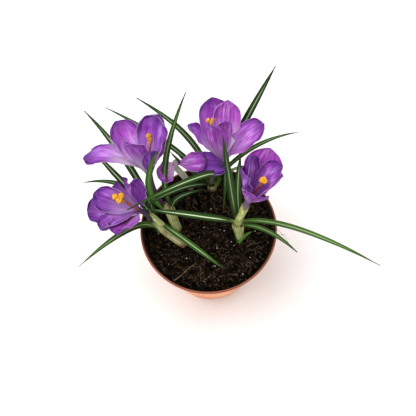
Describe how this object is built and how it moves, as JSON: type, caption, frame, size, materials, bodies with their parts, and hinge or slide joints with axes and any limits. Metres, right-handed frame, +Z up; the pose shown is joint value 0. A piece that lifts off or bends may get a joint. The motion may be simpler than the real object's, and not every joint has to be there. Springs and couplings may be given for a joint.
{
  "type": "potted crocus",
  "caption": "Small round terracotta-coloured nursery pot of dark peat holding violet spring crocus flowers with orange stigmas and narrow white-striped leaves.",
  "frame": {"origin": "centre of the pot's underside, on the surface it stands on", "axes": "+Z up along the pot's axis; -Y towards the front, from which the plant is seen; +X to the right"},
  "size_m": [0.2104, 0.1323, 0.1581],
  "materials": {
    "pot": "moulded terracotta-coloured plastic, slightly dusty",
    "soil": "damp dark peat with fibres and white grit",
    "sheath": "pale papery sheath, yellow-green to cream",
    "leaf": "waxy dark green leaf with a pale midrib",
    "stem": "smooth dull mauve flower tube",
    "stem_pale": "smooth pale whitish flower tube",
    "stigma": "frilly orange stigma dusted with pollen",
    "petal": "satin violet petal with fine darker veins"
  },
  "bodies": {
    "root": {"corm_back": "sheath", "corm_left": "sheath", "corm_right": "sheath", "leaf_back_far_left": "leaf", "leaf_back_left": "leaf", "leaf_back_right": "leaf", "leaf_back_side": "leaf", "leaf_centre_under": "leaf", "leaf_centre_wide": "leaf", "leaf_front_low": "leaf", "leaf_left_front": "leaf", "leaf_left_inward": "leaf", "leaf_left_long": "leaf", "leaf_left_middle": "leaf", "leaf_left_raised": "leaf", "leaf_left_side": "leaf", "leaf_left_tall": "leaf", "leaf_right_back": "leaf", "leaf_right_inward": "leaf", "leaf_right_long": "leaf", "leaf_right_low": "leaf", "leaf_right_tall": "leaf", "petal_a_1": "petal", "petal_a_2": "petal", "petal_a_3": "petal", "petal_a_4": "petal", "petal_a_5": "petal", "petal_a_6": "petal", "petal_b_1": "petal", "petal_b_2": "petal", "petal_b_3": "petal", "petal_b_4": "petal", "petal_b_5": "petal", "petal_b_6": "petal", "petal_c_1": "petal", "petal_c_2": "petal", "petal_c_3": "petal", "petal_c_4": "petal", "petal_c_5": "petal", "petal_c_6": "petal", "petal_d_1": "petal", "petal_d_2": "petal", "petal_d_3": "petal", "petal_d_4": "petal", "petal_d_5": "petal", "petal_d_6": "petal", "petal_e_1": "petal", "petal_e_2": "petal", "petal_e_3": "petal", "pot": "pot", "soil": "soil", "stem_a": "stem", "stem_b": "stem", "stem_c": "stem", "stem_d": "stem", "stem_e": "stem_pale", "stigma_a": "stigma", "stigma_b": "stigma", "stigma_c": "stigma", "stigma_d": "stigma"}
  },
  "joints": []
}
